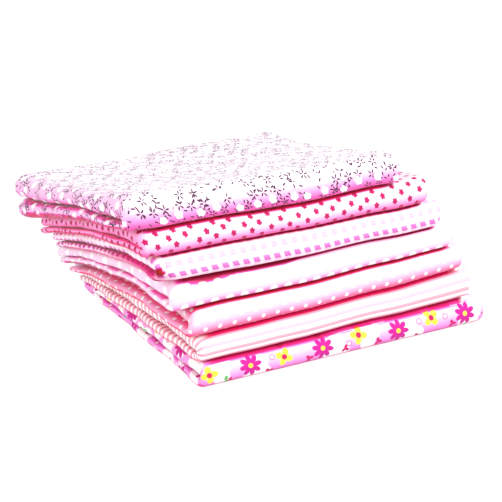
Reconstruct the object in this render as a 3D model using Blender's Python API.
"""A bundle of seven folded fat quarters, stacked and fanned to one side.

Each piece of cloth, 560 x 500 mm before folding, is folded four times. It lies as two halves
that join in one round fold along the front, and each half is doubled again, with its loop at
the left. So a piece shows two bands of loops at the left, one soft fold at the front, and the
ends of its layers at the right and at the back.

Sizes are in millimetres and are turned to metres where the points are made. X runs to the
right along the front folds, Y runs to the back, and Z runs up from the surface below.
"""

import math
from collections import namedtuple

import bmesh
import bpy

MM = 0.001

# The stack
CENTRE_X = 52.35          # the middle of the bundle's width, which becomes X = 0
CENTRE_Y = 59.35          # the middle of its depth, which becomes Y = 0
PIECE_GAP = 0.3           # between one piece and the next
BACK_RUN = 112.0          # the length over which a level falls by its whole drop
FOLD_EASE = 6.0           # a level starts to fall this softly behind the front
RIGHT_EASE = 0.12         # at the right the levels fall by this much less
NOMINAL_WIDTH = 137.5     # the width over which a level's left and right heights are given

# The folds
SLIT = 0.5                # between the two halves of a piece where they lie closest
GAPE_REACH = 0.22         # the top piece opens to its full gape over this share of its depth
GAPE_LEFT = 0.75          # how much more it gapes at the left than at the right
NOSE_SHARE = 0.56         # the front fold's depth, as a share of its height
NOSE_WALL = 0.44          # the thickness of cloth round the front fold, as the same share
NOSE_POWER = 0.84         # under 1 the front fold is squarer than an ellipse
NOSE_PART = 0.1           # the share of a half's length that goes into the front fold
STAGGER = 2.2             # the inner layers reach this much further back
SHEET_SHARE = 0.45        # the share of a half's thickness in each of its two layers
INNER_SHORT = 2.0         # the raw edges stop this far inside the folded ones
LOOP_ROUND = 0.95         # a loop's depth, as a share of half its height
END_ROUND = 1.2           # the round end of the folded layer at the right

# The counts of faces
ARM_STEPS = 7
NOSE_STEPS = 10
LINE_STEPS = 6
LOOP_STEPS = 8
SLOT_STEPS = 2
END_STEPS = 4
SHARP_EDGE = 50           # degrees: faces that meet at more than this keep a hard edge

# The surface under each piece and over the last one: its height at the left and right of the
# front, its drop to the back, how late that drop comes, its sag and wave across, and its left end
Level = namedtuple("Level", "left right drop bend sag wave start")
LEVELS = (
    Level(left=0.0, right=0.0, drop=0.0, bend=0.0, sag=0.0, wave=0.0, start=0.0),
    Level(left=11.0, right=12.9, drop=6.5, bend=0.35, sag=0.0, wave=0.15, start=-1.4),
    Level(left=23.3, right=28.4, drop=12.5, bend=1.15, sag=0.9, wave=0.2, start=-5.9),
    Level(left=35.6, right=39.4, drop=19.8, bend=1.0, sag=0.7, wave=0.25, start=-12.9),
    Level(left=49.9, right=50.4, drop=26.0, bend=0.5, sag=1.2, wave=0.25, start=-20.2),
    Level(left=62.0, right=62.2, drop=29.5, bend=0.4, sag=1.0, wave=0.25, start=-26.0),
    Level(left=73.4, right=73.6, drop=31.8, bend=0.15, sag=1.2, wave=0.25, start=-32.3),
    Level(left=88.0, right=86.6, drop=26.6, bend=-0.4, sag=0.6, wave=0.3, start=-32.3),
)
WAVE_LENGTH = 92.0
WAVE_SHIFT = 0.37         # how far the wave moves on from one level to the next

# The pieces, from the lowest up. First the outline in plan: where the left and right ends lie at
# the front and at the back, the front fold and the back. Then the lower half's share of the
# thickness at the front and the back and how soon it changes, how far the two halves gape, how
# far the loops of each half stand in, the dent at the front corner, and the colour
Piece = namedtuple(
    "Piece",
    "node left left_back right right_back front back "
    "low_front low_back reach gape lower_in upper_in dent colour",
)
PIECES = (
    Piece(node="fat_quarter_daisy",
          left=-2.0, left_back=0.0, right=138.8, right_back=138.8, front=-4.5, back=120.0,
          low_front=0.36, low_back=0.44, reach=1.0, gape=0.0, lower_in=0.0, upper_in=0.0,
          dent=0.0, colour=(0.87, 0.55, 0.80)),
    Piece(node="fat_quarter_stripe",
          left=-3.4, left_back=-1.8, right=130.9, right_back=133.5, front=-4.0, back=120.0,
          low_front=0.31, low_back=0.42, reach=1.0, gape=0.0, lower_in=0.0, upper_in=0.3,
          dent=0.0, colour=(0.93, 0.62, 0.70)),
    Piece(node="fat_quarter_pin_dot",
          left=-7.9, left_back=-6.5, right=126.2, right_back=129.5, front=-4.3, back=120.0,
          low_front=0.28, low_back=0.45, reach=1.0, gape=0.0, lower_in=0.0, upper_in=2.4,
          dent=0.0, colour=(0.95, 0.42, 0.50)),
    Piece(node="fat_quarter_wide_dot",
          left=-14.9, left_back=-11.9, right=121.1, right_back=125.0, front=-3.7, back=120.5,
          low_front=0.25, low_back=0.38, reach=1.0, gape=0.0, lower_in=0.6, upper_in=0.0,
          dent=0.0, colour=(0.94, 0.68, 0.80)),
    Piece(node="fat_quarter_gingham",
          left=-22.2, left_back=-15.0, right=113.3, right_back=119.0, front=-4.5, back=119.5,
          low_front=0.42, low_back=0.37, reach=0.5, gape=0.4, lower_in=1.4, upper_in=0.0,
          dent=4.5, colour=(0.92, 0.52, 0.74)),
    Piece(node="fat_quarter_blossom",
          left=-28.0, left_back=-20.8, right=106.3, right_back=113.0, front=-3.9, back=119.0,
          low_front=0.35, low_back=0.32, reach=1.0, gape=0.0, lower_in=0.5, upper_in=0.0,
          dent=0.0, colour=(0.93, 0.40, 0.58)),
    Piece(node="fat_quarter_sprig",
          left=-34.3, left_back=-30.9, right=91.8, right_back=99.0, front=-4.2, back=121.0,
          low_front=0.18, low_back=0.43, reach=0.4, gape=2.6, lower_in=0.8, upper_in=0.0,
          dent=0.0, colour=(0.90, 0.72, 0.86)),
)
DENT_LENGTH = 5.5         # how far the dent reaches along the front
DENT_HEIGHT = 2.2         # and how far up and down from its middle
DENT_DROP = 3.2           # its middle lies this much under the line between the halves
DENT_DEPTH = 26.0         # how far back the cloth gives way to it


def smooth(value):
    """0 to 1 with soft ends."""
    value = min(max(value, 0.0), 1.0)
    return value * value * (3 - 2 * value)


def run_back(y):
    """How far behind the front a point lies: 0 at the front, about 1 at the back."""
    return (math.hypot(y, FOLD_EASE) - FOLD_EASE) / BACK_RUN


def level_height(number, x, y):
    """The height of one of the surfaces between the pieces."""
    level = LEVELS[number]
    across = (x - level.start) / NOMINAL_WIDTH
    back = run_back(y)
    front = level.left + (level.right - level.left) * across
    drop = level.drop * (1 - RIGHT_EASE * across) * ((1 - level.bend) * back + level.bend * back**2)
    sag = level.sag * math.sin(math.pi * min(max(across, 0.0), 1.0))
    wave = level.wave * math.sin(2 * math.pi * (x / WAVE_LENGTH + WAVE_SHIFT * number))
    return front - drop - sag + wave


def half_heights(number, x, y):
    """The lower half's bottom and top, and the upper half's bottom and top."""
    piece = PIECES[number]
    bottom = level_height(number, x, y) + (PIECE_GAP / 2 if number else 0.0)
    top = level_height(number + 1, x, y) - (PIECE_GAP / 2 if number + 1 < len(PIECES) else 0.0)
    back = run_back(y)
    across = min(max((x - piece.left) / (piece.right - piece.left), 0.0), 1.0)
    opening = SLIT + piece.gape * smooth(back / GAPE_REACH) * (1 - GAPE_LEFT * across)
    share = piece.low_front + (piece.low_back - piece.low_front) * smooth(back / piece.reach)
    low = bottom + (top - bottom - opening) * share
    return bottom, low, low + opening, top


def fold_height(number, along_turn, inward, x, y):
    """The height of a point whose place in plan is known, and whose turn round the front fold is."""
    bottom, low, high, top = half_heights(number, x, y)
    rise = math.sin(along_turn)
    round_rise = math.copysign(abs(rise) ** NOSE_POWER, rise)
    outer = (bottom + top) / 2 + (top - bottom) / 2 * round_rise
    inner = (low + high) / 2 + (high - low) / 2 * rise
    return outer + (inner - outer) * inward, (low + high) / 2


def fold_point(number, along, x, inward):
    """A point of a folded piece, in millimetres.

    along runs from -1 at the back of the lower half, through 0 at the front fold, to 1 at the
    back of the upper half. inward runs from 0 outside the fold to 1 inside it.
    """
    piece = PIECES[number]
    front_height = level_height(number + 1, x, 0.0) - level_height(number, x, 0.0)
    nose = NOSE_SHARE * front_height
    turn = math.copysign(min(abs(along) / NOSE_PART, 1.0) * math.pi / 2, along)
    rest = max(abs(along) - NOSE_PART, 0.0) / (1 - NOSE_PART)
    flat = max(math.cos(turn), 0.0)
    outer_y = nose * (1 - flat**NOSE_POWER)
    inner_y = nose - (nose - NOSE_WALL * front_height) * flat
    length = piece.back - piece.front
    from_front = outer_y + (inner_y - outer_y) * inward + (length + STAGGER * inward - nose) * rest
    y = piece.front + from_front
    across = (x - piece.left) / (piece.right - piece.left)
    left_lean = piece.left_back - piece.left
    right_lean = piece.right_back - piece.right
    lean = left_lean + (right_lean - left_lean) * across
    x_there = x + lean * from_front / length
    z, middle = fold_height(number, turn, inward, x_there, y)
    off_left = (x - piece.left) / DENT_LENGTH
    off_middle = (z - middle + DENT_DROP) / DENT_HEIGHT
    give = max(1 - from_front / DENT_DEPTH, 0.0) ** 2
    y += piece.dent * math.exp(-off_left**2 - off_middle**2) * give
    z, middle = fold_height(number, turn, inward, x_there, y)
    return x_there, y, z


def spread(first, last, steps):
    """The points strictly between two values."""
    return [first + (last - first) * i / steps for i in range(1, steps)]


def section(number, along):
    """The outline of a doubled half: two layers that one loop joins at the left.

    Each entry is a place across, in millimetres, and a depth inward from the outside.
    """
    piece = PIECES[number]
    upper = smooth((along / NOSE_PART + 1) / 2)
    left = piece.left + piece.lower_in + (piece.upper_in - piece.lower_in) * upper
    right = piece.right
    outside = fold_point(number, along, left, 0.0)
    inside = fold_point(number, along, left, 1.0)
    wall = math.dist(outside, inside)
    loop = LOOP_ROUND * wall / 2
    hollow = loop * (1 - 2 * SHEET_SHARE)
    slot_left = left + loop
    folded_end = right - END_ROUND
    outline = []
    for i in range(END_STEPS + 1):
        angle = math.pi * i / END_STEPS
        out = END_ROUND * math.sin(angle)
        outline.append((folded_end + out, SHEET_SHARE * (1 - math.cos(angle)) / 2))
    outline += [(x, SHEET_SHARE) for x in spread(folded_end, slot_left, LINE_STEPS)]
    for i in range(SLOT_STEPS + 1):
        angle = math.pi * i / SLOT_STEPS
        inward = 0.5 - (0.5 - SHEET_SHARE) * math.cos(angle)
        outline.append((slot_left - hollow * math.sin(angle), inward))
    raw_end = right - INNER_SHORT
    outline += [(x, 1 - SHEET_SHARE) for x in spread(slot_left, raw_end, LINE_STEPS)]
    outline += [(raw_end, 1 - SHEET_SHARE), (raw_end, 1.0)]
    outline += [(x, 1.0) for x in spread(raw_end, slot_left, LINE_STEPS)]
    for i in range(LOOP_STEPS + 1):
        angle = math.pi * i / LOOP_STEPS
        outline.append((slot_left - loop * math.sin(angle), (1 + math.cos(angle)) / 2))
    outline += [(x, 0.0) for x in spread(slot_left, folded_end, LINE_STEPS)]
    return outline


def path_steps():
    """The places along a piece at which its section is set down, back to front to back."""
    arm = [1 - (1 - NOSE_PART) * i / ARM_STEPS for i in range(ARM_STEPS)]
    fold = [NOSE_PART * math.cos(math.pi * i / NOSE_STEPS) for i in range(NOSE_STEPS + 1)]
    return [-a for a in arm] + [-f for f in fold] + arm[::-1]


def cloth_material(piece):
    """Plain cotton in the piece's main colour."""
    material = bpy.data.materials.new(piece.node)
    material.use_nodes = True
    shader = material.node_tree.nodes["Principled BSDF"]
    shader.inputs["Base Color"].default_value = (*piece.colour, 1.0)
    shader.inputs["Roughness"].default_value = 0.9
    shader.inputs["Metallic"].default_value = 0.0
    material.diffuse_color = (*piece.colour, 1.0)
    return material


def folded_piece(number):
    """One folded fat quarter, as a single closed body."""
    piece = PIECES[number]
    shape = bmesh.new()
    rings = []
    for along in path_steps():
        ring = []
        for x, inward in section(number, along):
            px, py, pz = fold_point(number, along, x, inward)
            ring.append(shape.verts.new(((px - CENTRE_X) * MM, (py - CENTRE_Y) * MM, pz * MM)))
        rings.append(ring)
    for ring, following in zip(rings, rings[1:]):
        for i, vert in enumerate(ring):
            j = (i + 1) % len(ring)
            shape.faces.new((vert, ring[j], following[j], following[i]))
    shape.faces.new(rings[0][::-1])
    shape.faces.new(rings[-1])
    bmesh.ops.recalc_face_normals(shape, faces=shape.faces)
    mesh = bpy.data.meshes.new(piece.node)
    shape.to_mesh(mesh)
    shape.free()
    mesh.shade_smooth()
    mesh.set_sharp_from_angle(angle=math.radians(SHARP_EDGE))
    mesh.materials.append(cloth_material(piece))
    bpy.context.scene.collection.objects.link(bpy.data.objects.new(piece.node, mesh))


for thing in list(bpy.data.objects):
    bpy.data.objects.remove(thing, do_unlink=True)
for number in range(len(PIECES)):
    folded_piece(number)
